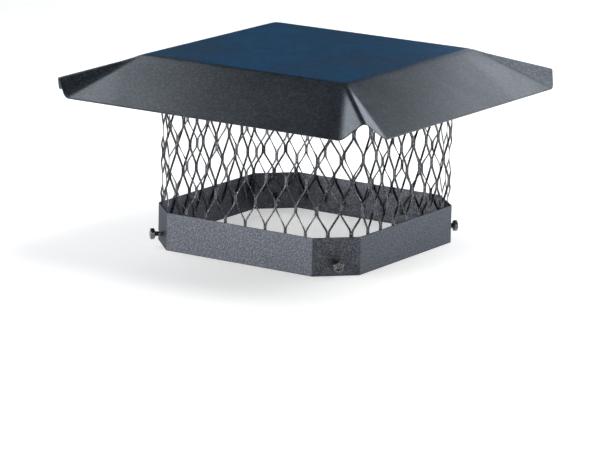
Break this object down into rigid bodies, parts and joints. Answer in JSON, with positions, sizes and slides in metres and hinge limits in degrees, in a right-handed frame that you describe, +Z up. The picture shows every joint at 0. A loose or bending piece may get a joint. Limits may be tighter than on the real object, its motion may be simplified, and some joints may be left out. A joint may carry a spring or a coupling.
{
  "type": "chimney cap",
  "caption": "Square single-flue chimney cap: pleated sheet-steel lid over an expanded-metal screen, on a bolt-on band with hexagon set bolts in its cut-off corners.",
  "frame": {"origin": "middle of the band's lower rim, on the flue's axis", "axes": "+Z up along the flue, towards the lid; -Y is the front; +X is to the right of the front"},
  "size_m": [0.3776, 0.3776, 0.193],
  "materials": {
    "lid_paint": "satin black paint with a fine texture, faintly blue",
    "screen_paint": "satin black paint over expanded metal",
    "band_paint": "satin black paint with a fine speckled texture",
    "bolt_finish": "black oxide, half gloss"
  },
  "bodies": {
    "root": {"lid": "lid_paint", "screen": "screen_paint", "band": "band_paint", "set_bolt_1": "bolt_finish", "set_bolt_2": "bolt_finish", "set_bolt_3": "bolt_finish", "set_bolt_4": "bolt_finish"}
  },
  "joints": []
}
